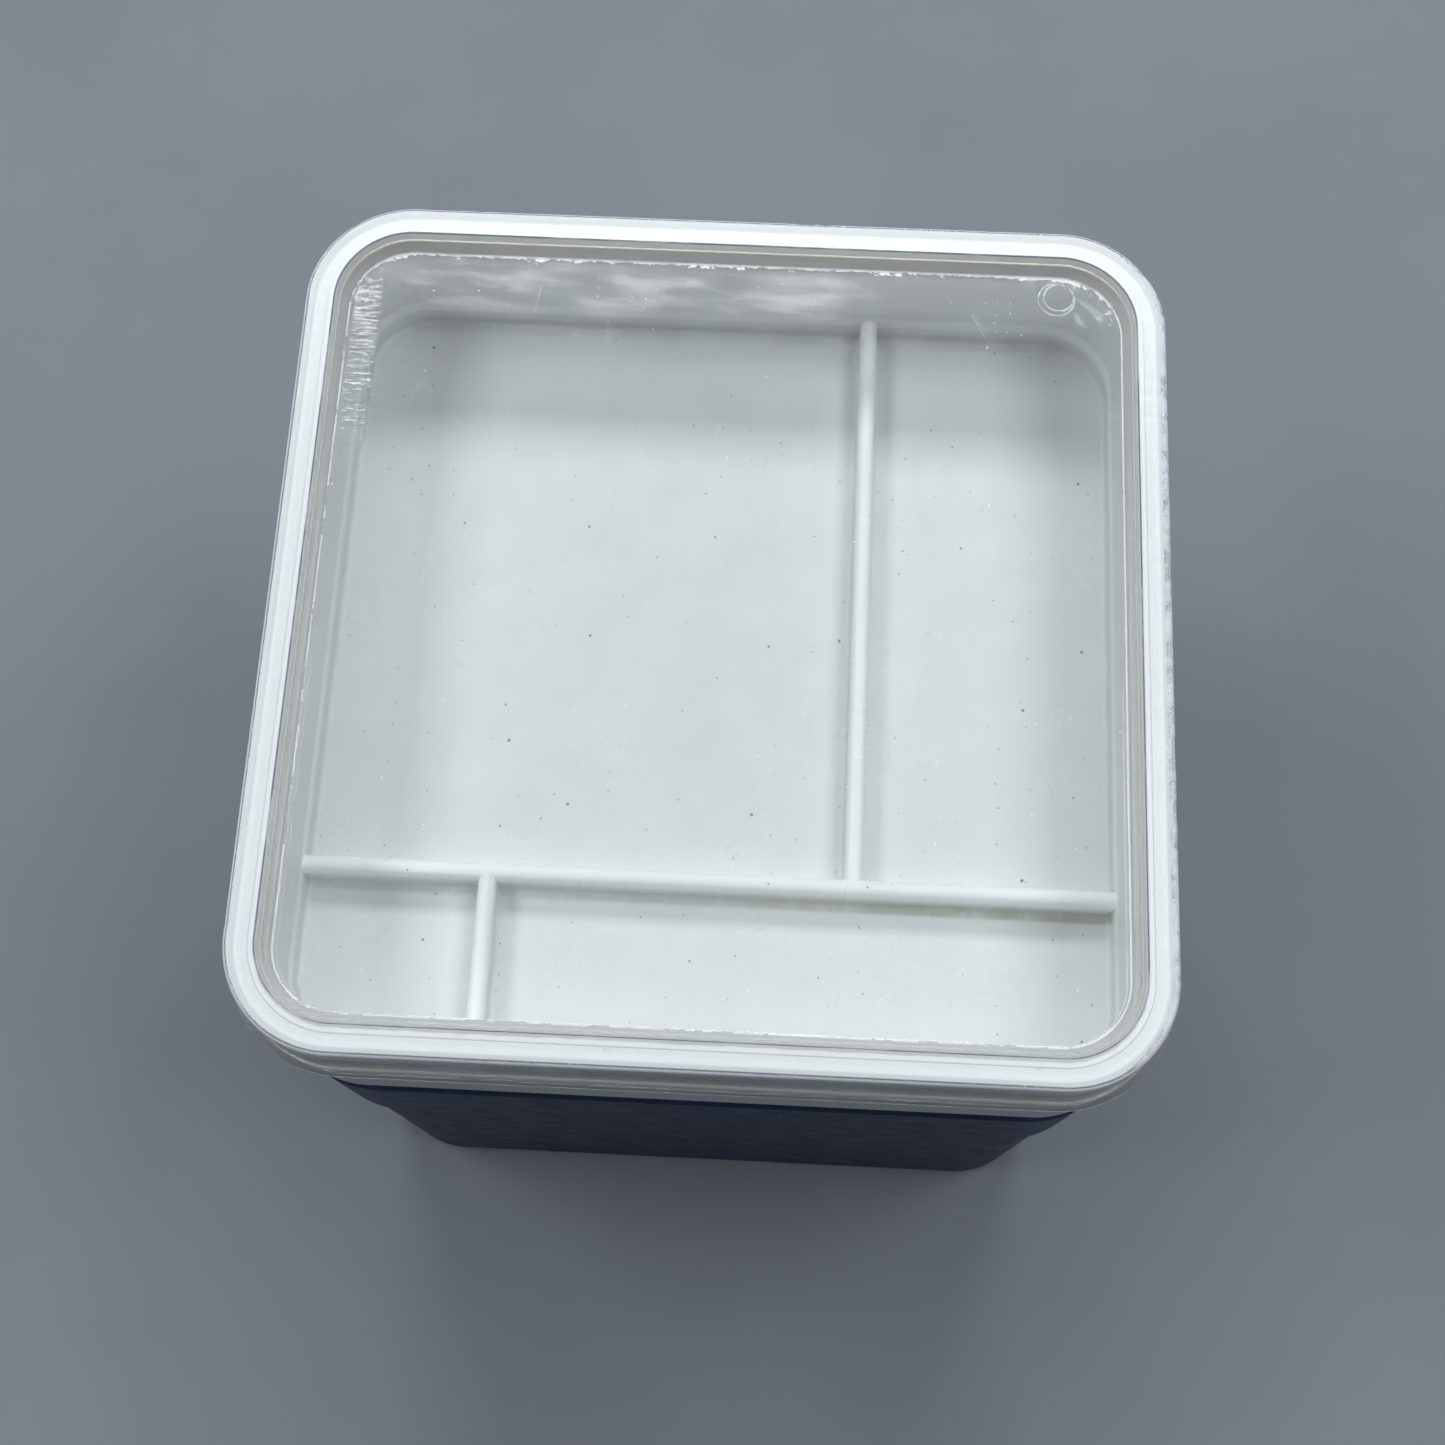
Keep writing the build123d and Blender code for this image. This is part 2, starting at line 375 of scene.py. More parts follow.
    def half_width(self):
        """The half-width, in millimetres, of the rounded square that passes through a point."""
        flat = self.vector("MULTIPLY", self.place, (1 / MM, 1 / MM, 0))
        size = self.vector("ABSOLUTE", flat)
        past = self.vector("SUBTRACT", size, (CORNER_CENTRE, CORNER_CENTRE, 0))
        past = self.vector("MAXIMUM", past, (0, 0, 0))
        return self.math("ADD", self.vector("LENGTH", past), CORNER_CENTRE)

    def level(self):
        """1 on surfaces that face up, 0 on others."""
        normal = self.add("ShaderNodeNewGeometry").outputs["Normal"]
        facing = self.add("ShaderNodeSeparateXYZ", {0: normal})
        return self.math("GREATER_THAN", facing.outputs["Z"], 0.9)

    def principled(self, colour, roughness, normal, extra=()):
        inputs = {"Base Color": colour, "Roughness": roughness, "Normal": normal}
        inputs.update(extra)
        return self.add("ShaderNodeBsdfPrincipled", inputs).outputs[0]

    def done(self, shader):
        self.tree.links.new(shader, self.output.inputs["Surface"])
        return self.material


def white_plastic():
    """Moulded white plastic: filmed with old paint on the wells' floor, with a painted sheen on the ridge
    tops and painted shade at the feet of the long ridge and the back wall.
    """
    n = Nodes("white_plastic")
    x, y, z = n.axes()
    blotch = n.noise(26, 3, 0.55)
    flow = n.noise(9, 4, 0.6, 0.6)
    clean = n.colour(n.spread(blotch), (0.79, 0.803, 0.795, 1), (0.82, 0.832, 0.822, 1))
    film = n.colour(n.ramp(flow, 0.35, 0.7), (0.748, 0.758, 0.757, 1), (0.760, 0.782, 0.775, 1))
    ridge_top = WELL_FLOOR + RIDGE_HEIGHT
    base = n.colour(n.ramp(z, WELL_FLOOR + 0.4, WELL_FLOOR + 4.0), film, clean)
    # Painted sheen: the ridge tops are whiter, standing for the lamps' sheen on their rounded tops.
    base = n.colour(n.band(z, ridge_top - 1.3, ridge_top + 0.4, 0.8), base, (0.94, 0.945, 0.94, 1))
    base = n.colour(n.ramp(z, REBATE_Z - 0.5, REBATE_Z - 0.1), base, (0.80, 0.82, 0.815, 1))

    # Painted shade along the long ridge's front foot, more of it to the right, and at the back wall's foot
    ridge_foot_shade = n.product(
        n.band(y, LONG_RIDGE_Y - 2.2, LONG_RIDGE_Y - 1.1, 0.6),
        n.ramp(z, WELL_FLOOR + 0.2, WELL_FLOOR + 3.2, 1.0, 0.0),
        n.ramp(x, -30, 50, 0.3, 0.9), n.ramp(n.noise(4, 3, 0.7), 0.3, 0.6, 0.3, 0.8))
    foot = n.product(
        n.ramp(y, WELL - 2.3, WELL - 0.3), n.ramp(z, WELL_FLOOR + 0.4, WELL_FLOOR + 2.7, 1.0, 0.0),
        n.ramp(n.noise(6, 3), 0.3, 0.6, 0.15, 0.35))
    # The olive colour is painted shade in these creases.
    base = n.colour(n.most(ridge_foot_shade, foot), base, (0.42, 0.425, 0.345, 1))

    smudge = n.product(n.ramp(n.noise(5, 3, 0.65), 0.62, 0.75), n.ramp(blotch, 0.5, 0.62))
    base = n.colour(n.math("MULTIPLY", smudge, 0.16), base, (0.55, 0.57, 0.555, 1))
    specks = n.most(n.dots(9, 0.25, 0.32), n.dots(4.5, 0.13, 0.45, 0.031))
    specks = n.product(specks, n.level(), 0.8)
    base = n.colour(specks, base, (0.09, 0.10, 0.10, 1))
    rough = n.spread(n.noise(6, 3, 0.6), 0.48, 0.62)
    normal = n.bump(n.noise(0.35, 2, 0.6), 0.35, 0.012)
    normal = n.bump(n.noise(7, 2), 0.25, 0.10, normal)
    return n.done(n.principled(base, rough, normal, {"IOR": 1.5}))


def navy_plastic():
    """Dark blue plastic with fine rub marks and a little dust."""
    n = Nodes("navy_plastic")
    blotch = n.noise(18, 3, 0.6)
    base = n.colour(n.spread(blotch), (0.020, 0.038, 0.098, 1), (0.027, 0.050, 0.124, 1))
    rub = n.product(n.ramp(n.stretched(8, 9, 0.16), 0.66, 0.74), n.ramp(n.noise(14, 2), 0.5, 0.66))
    dust = n.product(n.ramp(n.noise(0.6, 2, 0.7), 0.66, 0.78), n.ramp(blotch, 0.45, 0.7))
    wear = n.math("ADD", n.product(rub, 0.22), n.product(dust, 0.10), clamp=True)
    base = n.colour(wear, base, (0.30, 0.34, 0.42, 1))
    rough = n.spread(n.noise(5, 3, 0.6), 0.42, 0.54)
    normal = n.bump(n.noise(0.28, 2, 0.6), 0.5, 0.02)
    normal = n.bump(n.noise(11, 2), 0.3, 0.12, normal)
    return n.done(n.principled(base, rough, normal, {"IOR": 1.5, "Specular IOR Level": 0.2}))


def grey_plastic():
    """Pale grey plastic with a tide mark left by dirty water."""
    n = Nodes("divider_plastic")
    base = n.colour(n.spread(n.noise(12, 3, 0.6)), (0.58, 0.62, 0.66, 1), (0.65, 0.69, 0.73, 1))
    tide = n.ramp(n.noise(3, 4, 0.7), 0.6, 0.75)
    base = n.colour(n.product(tide, 0.15), base, (0.40, 0.47, 0.52, 1))
    rough = n.spread(n.noise(2.5, 3, 0.6), 0.46, 0.60)
    normal = n.bump(n.noise(0.3, 2, 0.6), 0.5, 0.02)
    return n.done(n.principled(base, rough, normal, {"IOR": 1.5}))


def rubber(name, first, second, low, high):
    """Matt rubber or silicone, mottled between two colours, with roughness from low to high."""
    n = Nodes(name)
    base = n.colour(n.spread(n.noise(3, 3, 0.6)), first, second)
    dust = n.ramp(n.noise(0.5, 2, 0.7), 0.64, 0.8)
    base = n.colour(n.product(dust, 0.14), base, (0.55, 0.57, 0.60, 1))
    rough = n.spread(n.noise(1.5, 3, 0.6), low, high)
    normal = n.bump(n.noise(0.2, 2, 0.6), 0.5, 0.015)
    return n.done(n.principled(base, rough, normal, {"IOR": 1.43}))


def milky_silicone():
    """Near white, with painted shade on its inner edge."""
    n = Nodes("pale_silicone")
    milky = n.colour(n.spread(n.noise(3, 3, 0.6)), (0.84, 0.86, 0.87, 1), (0.89, 0.905, 0.915, 1))
    edge = n.math("ADD", n.half_width(), n.spread(n.noise(2, 3, 0.6), -0.08, 0.08))
    # Painted shade: the inner edge is dark olive grey, standing for the shaded recess under the lid's slope.
    painted_edge_shade = n.colour(n.ramp(n.noise(9, 2), 0.35, 0.65), (0.27, 0.262, 0.22, 1), (0.33, 0.32, 0.28, 1))
    base = n.colour(n.ramp(edge, LID_PLUG + 0.75, LID_PLUG + 0.95), painted_edge_shade, milky)
    rough = n.spread(n.noise(1.5, 3, 0.6), 0.34, 0.48)
    normal = n.bump(n.noise(0.2, 2, 0.6), 0.5, 0.015)
    return n.done(n.principled(base, rough, normal, {"IOR": 1.43}))


def sponge_foam():
    """Yellow cellulose sponge with two sizes of pore."""
    n = Nodes("sponge")
    pores = n.product(n.ramp(n.cells(0.9), 0.05, 0.5), n.ramp(n.cells(2.6), 0.05, 0.42, 0.45, 1.0))
    blotch = n.noise(16, 3, 0.6)
    light = n.colour(n.spread(blotch), (0.80, 0.69, 0.32, 1), (0.87, 0.78, 0.43, 1))
    # Painted shade: the pores are darker brown inside.
    base = n.colour(pores, (0.42, 0.32, 0.10, 1), light)
    rough = n.spread(blotch, 0.86, 0.95)
    normal = n.bump(pores, 0.8, 0.35)
    return n.done(n.principled(base, rough, normal, {
        "Sheen Weight": 0.25, "Sheen Roughness": 0.5, "IOR": 1.35}))


def membrane_paper():
    """Fibrous, faintly shiny palette paper."""
    n = Nodes("membrane_paper")
    fibres = n.most(*[n.stretched(angle, 3.5, 0.12) for angle in (20, 75, 140)])
    cloud = n.noise(2.2, 4, 0.65)
    base = n.colour(n.spread(cloud), (0.83, 0.815, 0.75, 1), (0.89, 0.88, 0.83, 1))
    base = n.colour(n.ramp(fibres, 0.62, 0.78, 0.0, 0.35), base, (0.95, 0.945, 0.92, 1))
    rough = n.spread(cloud, 0.34, 0.52)
    normal = n.bump(fibres, 0.25, 0.03)
    normal = n.bump(n.noise(6, 3), 0.3, 0.2, normal)
    return n.done(n.principled(base, rough, normal, {"IOR": 1.45}))


def rim_wear(n, x, y, z, half, rim_end):
    """How matt the lid's raised rim is, and how pitted its outer edge. Most of the wear is on the right."""
    high_up = n.ramp(z, LID_TOP - 1.1, LID_TOP - 0.5)
    flat_top = n.ramp(z, LID_TOP - 0.25, LID_TOP - 0.05)
    top = n.product(n.band(rim_end, RIM_INNER + 0.1, RIM_HALF - 0.6, 0.15), flat_top,
                    n.ramp(half, 57.6, 58.5, 0.42, 0.62))

    bubbly = n.product(n.ramp(x, 56, 59), n.ramp(n.noise(9, 2), 0.4, 0.55))
    lip = n.product(n.band(half, RIM_HALF - 0.25, RIM_HALF + 0.2, 0.12), high_up,
                    n.ramp(bubbly, 0, 1, 0.8, 0.45))

    grit = n.ramp(n.noise(0.5, 3, 0.7, 1.0), 0.54, 0.62)
    patches = n.ramp(n.noise(7, 2, 0.6), 0.44, 0.60)
    right = n.ramp(x, 52, 58)
    back = n.product(n.ramp(y, 54, 58), n.ramp(x, -10, 30, 0.25, 0.9))
    rest = n.ramp(n.noise(11, 2), 0.5, 0.62, 0.0, 0.5)
    where = n.most(right, back, rest)
    outer_edge = n.product(n.band(rim_end, RIM_HALF - 0.7, RIM_HALF + 0.6, 0.2), high_up)
    scuffs = n.product(outer_edge, grit, where, n.most(patches, n.product(right, 0.6)))
    misty = n.product(outer_edge, n.ramp(x, 52, 57), n.ramp(n.noise(3, 3, 0.7), 0.3, 0.6, 0.25, 0.7))

    pits = n.product(grit, n.band(rim_end, RIM_HALF - 0.5, RIM_HALF + 0.7, 0.2), where,
                     n.most(patches, n.product(right, 0.5)))
    return n.most(top, lip, scuffs, misty), pits


def painted_slope_shade(n, z, half):
    """How matt the slope down to the panel is, where it is painted grey as shade, and the painted dark line
    of shade along the rim's inner edge.
    """
    slope = n.math("SUBTRACT", n.product(n.band(half, PANEL + 0.2, RIM_INNER - 0.1, 0.1), 0.6),
                   n.product(n.band(half, 55.3, 55.45, 0.08), 0.25))
    slope = n.product(slope, n.ramp(z, PANEL_TOP + 0.05, PANEL_TOP + 0.3))
    # Painted shade: a dark line along the rim's inner edge.
    edge_shade_line = n.product(n.band(half, RIM_INNER - 0.05, RIM_INNER + 0.08, 0.06),
                      n.ramp(z, LID_TOP - 0.5, LID_TOP - 0.2),
                      n.ramp(n.noise(8, 2), 0.3, 0.6, 0.45, 0.8))
    return slope, edge_shade_line


def lid_tint(n, y, z, half, rim_end, slope, edge_shade_line):
    """The lid's colour: warm in the skirt, partly as painted shade, cool on the rim, and painted shade on
    the slope and along the rim's inner edge.
    """
    # The skirt's warm grey is partly the plastic's colour through its thick walls and partly painted shade
    # of the tray wall behind it.
    skirt = n.product(n.ramp(z, LID_TOP - 1.4, LID_TOP - 2.2), n.ramp(half, 58.6, 58.9))
    tint = n.colour(skirt, (0.975, 0.988, 1.0, 1), (0.86, 0.84, 0.83, 1))
    tint = n.colour(n.ramp(z, LID_TOP - 0.4, LID_TOP - 0.1), tint, (0.94, 0.975, 1.0, 1))
    blue = n.product(n.ramp(rim_end, RIM_HALF - 0.8, RIM_HALF - 0.5),
                     n.ramp(z, LID_TOP - 1.1, LID_TOP - 0.5))
    tint = n.colour(blue, tint, (0.86, 0.92, 1.0, 1))

    # Painted shade: olive grey at the back of the slope, grey elsewhere, and dark blue grey on the rim's
    # inner edge.
    back_shade_colour = n.colour(n.ramp(half, 55.0, 55.35), (0.60, 0.59, 0.575, 1), (0.68, 0.675, 0.605, 1))
    painted_shade_colour = n.colour(n.ramp(y, 46, 54), (0.64, 0.645, 0.64, 1), back_shade_colour)
    painted_shade_colour = n.colour(n.math("GREATER_THAN", edge_shade_line, 0.1), painted_shade_colour, (0.16, 0.17, 0.23, 1))
    painted_shade_amount = n.math("MULTIPLY", n.most(slope, edge_shade_line), 1.6, clamp=True)
    return n.colour(painted_shade_amount, tint, painted_shade_colour)


def painted_foot_highlight(n, x, y, z, half):
    """A painted highlight along the foot of the recess: ragged with blobs at the back, a line or dashes
    elsewhere.
    """
    stray = n.product(n.ramp(n.noise(0.55, 3, 0.7), 0.3, 0.7, -0.2, 0.2, "LINEAR"),
                      n.ramp(y, 46, 50, 0.25, 1.0))
    ragged = n.math("ADD", half, stray)
    blobs = n.product(n.ramp(n.noise(5, 3, 0.7), 0.56, 0.62), n.ramp(y, 50, 53),
                      n.band(ragged, PANEL - 0.45, PANEL + 0.2, 0.05))
    dashes = n.ramp(n.noise(4.5, 2, 0.6), 0.42, 0.50)
    at_back = n.product(n.ramp(y, 48, 52), n.ramp(n.noise(3, 2, 0.6), 0.40, 0.5, 0.5, 1.0))
    at_right = n.product(n.ramp(x, 48, 52), 0.85)
    strength = n.most(at_back, at_right, n.product(dashes, 0.8))
    wider = n.ramp(y, 49, 52, 0.0, 0.1)
    inner_edge = n.ramp(n.math("ADD", ragged, wider), PANEL - 0.08, PANEL - 0.03)
    outer_edge = n.ramp(n.math("SUBTRACT", ragged, wider), PANEL + 0.12, PANEL + 0.17, 1.0, 0.0)
    line = n.most(n.product(inner_edge, outer_edge, strength), blobs)
    return n.product(line, n.ramp(z, PANEL_TOP - 0.4, PANEL_TOP - 0.2), 0.95)


def panel_wear_and_reflections(n, x, y, left_edge):
    """Haze, painted reflections of the back lamp as clouds and a smear, ribs, scratches, dust and wiped
    marks on the lid's panel.
    """
    haze = n.ramp(n.noise(30, 4, 0.6, 0.5), 0.42, 0.75, 0.0, 0.035)
    # Painted reflections: clouds of the back lamp's glint near the panel's back edge, and a smear beside the
    # pin mark.
    cloud = n.product(n.ramp(n.stretched(-4, 11, 2.6, 5), 0.38, 0.72),
                      n.band(y, 48, 50.5, 4), n.band(x, -44, 14, 10))
    cloud = n.math("ADD", cloud, n.product(n.band(y, 49, 53, 3), 0.3))
    reflection_smear = n.product(n.ramp(n.stretched(-40, 5, 1.2, 2), 0.46, 0.66),
                      n.band(y, 47.5, 51, 1.5), n.band(x, 48.5, 51.5, 1.5))
    ribs = n.product(n.ramp(n.stretched(0, 2.6, 0.55, 1), 0.5, 0.6), left_edge, 0.5)
    scratches = n.most(
        n.ramp(n.stretched(35, 22, 0.16, 1), 0.735, 0.76),
        n.ramp(n.stretched(-62, 16, 0.13, 1), 0.74, 0.765),
        n.ramp(n.stretched(80, 30, 0.15, 1), 0.75, 0.77))
    scratches = n.product(scratches, n.ramp(n.noise(14, 2), 0.52, 0.66), 0.24)
    fine_dust = n.product(n.dots(1.6, 0.09, 0.5, 0.017), n.ramp(n.noise(9, 2), 0.56, 0.64))
    dust = n.product(n.most(fine_dust, n.dots(6.0, 0.13, 0.3, 0.023)), n.level(), 0.75)
    wiped = n.product(n.ramp(n.noise(1.6, 4, 0.7, 0.6), 0.5, 0.66), n.ramp(n.noise(13, 2), 0.57, 0.68), 0.09)
    milky = n.math("ADD", haze, n.product(n.most(cloud, reflection_smear, ribs), 0.18))
    return n.math("ADD", milky, n.most(scratches, dust, wiped), clamp=True)


def clear_plastic():
    """Clear moulded plastic: glass where it is clean, and a matt film where it is worn or where highlights,
    reflections and shade are painted on.
    """
    n = Nodes("clear_plastic")
    x, y, z = n.axes()
    half = n.half_width()
    # On the right, the rim's wear reaches a little further in.
    rim_end = n.math("ADD", half, n.ramp(x, 52, 57, 0.0, 0.45))
    top_side = n.ramp(z, PANEL_TOP - 0.7, PANEL_TOP - 0.4)
    panel = n.product(n.ramp(half, PANEL - 0.7, PANEL - 0.1, 1.0, 0.0), top_side)
    left_edge = n.product(n.band(x, -53.6, -50.5, 0.8), n.band(y, 27, 46, 5))

    edge, pits = rim_wear(n, x, y, z, half, rim_end)
    slope, edge_shade_line = painted_slope_shade(n, z, half)
    tint = lid_tint(n, y, z, half, rim_end, slope, edge_shade_line)
    on_panel = n.product(panel_wear_and_reflections(n, x, y, left_edge), panel)
    # Real wear on the rim and panel, together with painted highlights, reflections and shade.
    wear_and_painted_light = n.most(on_panel, edge, painted_foot_highlight(n, x, y, z, half), slope, edge_shade_line)
    clear = n.math("SUBTRACT", 1.0, wear_and_painted_light)
    rough = n.ramp(n.most(wear_and_painted_light, n.product(slope, 0.2)), 0, 1, 0.04, 0.55, "LINEAR")

    # Waviness all over, ripples near the left edge and the pitted rim
    ripple_place = n.vector("MULTIPLY", n.place, (0.35, 1.6, 1))
    ripple = n.product(n.noise(1.0, 2, place=ripple_place), left_edge, top_side)
    normal = n.bump(n.noise(12, 2), 0.25, 0.22)
    normal = n.bump(ripple, 0.6, 0.12, normal)
    normal = n.bump(pits, 0.5, 0.10, normal)
    glass = n.principled(tint, rough, normal, {"IOR": 1.5, "Transmission Weight": clear})

    # Lamps and soft bounced light pass straight through
    light = n.add("ShaderNodeBsdfTransparent", {"Color": (0.93, 0.94, 0.95, 1)})
    path = n.add("ShaderNodeLightPath")
    soft = n.most(path.outputs["Is Shadow Ray"], path.outputs["Is Diffuse Ray"])
    mixed = n.add("ShaderNodeMixShader", {0: soft, 1: glass, 2: light.outputs[0]})
    return n.done(mixed.outputs[0])


def table_top():
    """A plain pale grey-blue floor."""
    n = Nodes("table")
    blotch = n.noise(90, 4, 0.55)
    base = n.colour(n.spread(blotch), (0.222, 0.245, 0.285, 1), (0.242, 0.267, 0.308, 1))
    return n.done(n.principled(base, 0.75, n.bump(n.noise(0.8, 3), 0.2, 0.05)))


WHITE, NAVY, GREY, CLEAR = white_plastic(), navy_plastic(), grey_plastic(), clear_plastic()
DARK_SEAL = rubber("dark_silicone", (0.018, 0.023, 0.036, 1), (0.028, 0.034, 0.050, 1), 0.5, 0.64)
PALE_SEAL = milky_silicone()
FOOT_RUBBER = rubber("foot_rubber", (0.026, 0.026, 0.030, 1), (0.042, 0.042, 0.048, 1), 0.66, 0.8)
SPONGE, PAPER = sponge_foam(), membrane_paper()

# ---------------------------------------------------------------- water basin

BASIN_SHOULDER, BASIN_FILLET = 72.2, 3.0
GUIDE_TOP, GUIDE_DEPTH, GUIDE_HALF, GUIDE_SPACING = 60.0, 2.0, 0.7, 1.8
DIVIDER_Y = 6.0


def neck_top(rim):
    """The top of a neck with its seal groove, from the outside in."""
    return [
        (NECK, rim, 0.25), (SEAL_OUT, rim, 0.08), (SEAL_OUT, rim - SEAL_DROP, 0.1),
        (SEAL_IN, rim - SEAL_DROP, 0.1), (SEAL_IN, rim, 0.08), (CAVITY, rim, 0.2)]


basin_low, basin_high = box_mm("water_basin")
basin_floor = box_mm("basin_divider")[0].z
section = [(DECK, basin_low.z, 0), (basin_high.x, basin_low.z, BASIN_FILLET),
           (basin_high.x, BASIN_SHOULDER, 0.2), (NECK, BASIN_SHOULDER, 0.05)]
section += neck_top(basin_high.z)
section += [(CAVITY, basin_floor, BASIN_FILLET), (DECK, basin_floor, 0)]
basin = skin("basin_shell", skin_points(rounded(section)))

# Pairs of guides that the divider slides down between, sunk into the walls and the floor
guides = []
inner, outer = CAVITY - GUIDE_DEPTH, CAVITY + 1.0
low, high = basin_floor - 0.5, GUIDE_TOP
for side in (-1, 1):
    a, b = side * GUIDE_SPACING - GUIDE_HALF, side * GUIDE_SPACING + GUIDE_HALF
    guides.append(rib("guide", (inner, DIVIDER_Y + a, low), (outer, DIVIDER_Y + b, high)))
    guides.append(rib("guide", (-outer, DIVIDER_Y + a, low), (-inner, DIVIDER_Y + b, high)))
    guides.append(rib("guide", (a, inner, low), (b, outer, high)))
smooth(join_solids(basin, *guides))
finish_piece(basin, "water_basin", "basin", NAVY)


def ring_seal(name, node, body, material, inner, inset=0.04, radius=0.33, outer_radius=None):
    """A seal with a rounded section, inset a little inside its groove and its CAD node's box."""
    low, high = box_mm(node)
    outer, inner = high.x - inset, inner + inset
    section = [(inner, low.z + inset, radius), (outer, low.z + inset, radius),
               (outer, high.z - inset, outer_radius or radius), (inner, high.z - inset, radius)]
    made = skin(name, skin_points(rounded(section, closed=True, steps=4)), loop=True)
    return finish_piece(smooth(made, 80), node, body, material)


ring_seal("basin_neck_seal", "basin_seal", "basin", DARK_SEAL, SEAL_IN)
ring_seal("tray_neck_seal", "tray_seal", "wet_tier", DARK_SEAL, SEAL_IN)
ring_seal("lid_plug_seal", "lid_seal", "lid", PALE_SEAL, LID_PLUG,
          inset=0.005, radius=0.3, outer_radius=0.02)

# ---------------------------------------------------------------- divider, grid and feet

DIVIDER_THICK, CHAMFER, NOTCH_FLAT, NOTCH_RADIUS = 1.8, 5.0, 2.0, 9.0
div_low, div_high = box_mm("basin_divider")
notch = [(NOTCH_FLAT + NOTCH_RADIUS * math.cos(a), div_high.z - NOTCH_RADIUS * math.sin(a))
         for a in arc(math.pi / 2, 12)]

# The long plate has chamfered feet, and a finger notch in the middle of its top.
long_shape = [(div_low.x + CHAMFER, div_low.z), (div_high.x - CHAMFER, div_low.z),
              (div_high.x, div_low.z + CHAMFER), (div_high.x, div_high.z)]
long_shape += notch + [(-u, v) for u, v in notch[::-1]]
long_shape += [(div_low.x, div_high.z), (div_low.x, div_low.z + CHAMFER)]
long_plate = prism("divider_plates", long_shape, lambda u, v, w: (u, DIVIDER_Y + w, v), DIVIDER_THICK)

# The short plate joins it from the back, and carries on half of the notch.
short_shape = [(DIVIDER_Y, div_low.z), (div_high.y - CHAMFER, div_low.z),
               (div_high.y, div_low.z + CHAMFER), (div_high.y, div_high.z)]
short_shape += [(DIVIDER_Y + u, v) for u, v in notch]
short_shape += [(DIVIDER_Y, div_high.z - NOTCH_RADIUS)]
short_plate = prism("short_plate", short_shape, lambda u, v, w: (w, u, v), DIVIDER_THICK)
divider = smooth(round_edges(join_solids(long_plate, short_plate), 0.5))
finish_piece(divider, "basin_divider", "divider", GREY)

GRID_PLATE, GRID_CORNER, RIB_WIDTH, RIB_PITCH, RIB_SINK = 1.6, 8.0, 1.5, 5.0, 0.4
grid_low, grid_high = box_mm("scrub_grid")
grid_y = (grid_low.y + grid_high.y) / 2
plate_shape = []
for quarter in range(4):
    cx = (grid_high.x - GRID_CORNER) * (1 if quarter in (0, 3) else -1)
    cy = (grid_high.y - grid_y - GRID_CORNER) * (1 if quarter in (0, 1) else -1)
    for i in range(13):
        a = math.pi / 2 * (quarter + i / 12)
        plate_shape.append((cx + GRID_CORNER * math.cos(a), grid_y + cy + GRID_CORNER * math.sin(a)))
plate_middle = grid_low.z + GRID_PLATE / 2
grid = prism("scrub_plate", plate_shape, lambda u, v, w: (u, v, plate_middle + w), GRID_PLATE)
round_edges(grid, 0.45)
rib_count = int((2 * grid_high.x - 2 * GRID_CORNER) / RIB_PITCH) + 1
rib_reach = (grid_high.y - grid_low.y - GRID_CORNER) / 2
rib_low = grid_low.z + GRID_PLATE - RIB_SINK
ribs = []
for i in range(rib_count):
    x = (i - (rib_count - 1) / 2) * RIB_PITCH
    ribs.append(rib("rib", (x - RIB_WIDTH / 2, grid_y - rib_reach, rib_low),
                    (x + RIB_WIDTH / 2, grid_y + rib_reach, grid_high.z), 0.5, 4))
smooth(join_solids(grid, *ribs))
finish_piece(grid, "scrub_grid", "basin", GREY)

# Each foot has a shallow hollow in the middle of its sole, inside two narrow treads.
for name in ("front_left", "front_right", "back_left", "back_right"):
    low, high = box_mm("foot_" + name)
    centre = ((low.x + high.x) / 2, (low.y + high.y) / 2)
    r, h = (high.x - low.x) / 2, high.z
    profile = [(0, 0.25), (2.0, 0.25), (2.3, 0.05), (3.6, 0.05), (3.8, 0.2), (4.1, 0.2), (4.3, 0.0),
               (r - 0.5, 0.0), (r - 0.2, 0.12), (r - 0.03, 0.4), (r, 0.6), (r, h), (0, h)]
    foot = smooth(lathe("rubber_foot_" + name, profile, centre), 60)
    finish_piece(foot, "foot_" + name, "basin", FOOT_RUBBER)

# ---------------------------------------------------------------- sponge tray, sponge and sheet

SPONGE_SHOULDER, SPONGE_UNDER, SPONGE_FLOOR = 97.5, 77.25, 79.4


def tier_outside(shoulder, side, low, under):
    """A tier's outside, from its neck down: shoulder, skirt, and the hollow under its floor."""
    return [(NECK, shoulder, 0.35), (side, shoulder, 0.5), (side, low, 0.3),
            (SKIRT_INNER, low, 0.15), (SKIRT_INNER, under, 0.4), (DECK, under, 0)]


tray_low, tray_high = box_mm("sponge_tray")
section = [(DECK, SPONGE_FLOOR, 0), (CAVITY, SPONGE_FLOOR, 0.8)] + neck_top(tray_high.z)[::-1]
section += tier_outside(SPONGE_SHOULDER, tray_high.x, tray_low.z, SPONGE_UNDER)
sponge_tray = smooth(skin("sponge_tray_shell", skin_points(rounded(section))))
finish_piece(sponge_tray, "sponge_tray", "wet_tier", NAVY)

PORE_CELL, PORE_RADIUS, PORE_DEPTH = 2.6, 0.42, 0.55
PAD_CROWN, PAD_PULL, PAD_INSET = 0.7, 0.9, 0.1
pad_low, pad_high = box_mm("sponge_pad")
section = [(DECK, pad_low.z, 0), (pad_high.x, pad_low.z, 1.6), (pad_high.x, pad_high.z, 2.2),
           (DECK, pad_high.z, 0)]
pad = skin("sponge_block", skin_points(rounded(section)))
change = pad.modifiers.new("even", "REMESH")
change.mode, change.voxel_size = "VOXEL", 0.8 * MM
bake(pad)


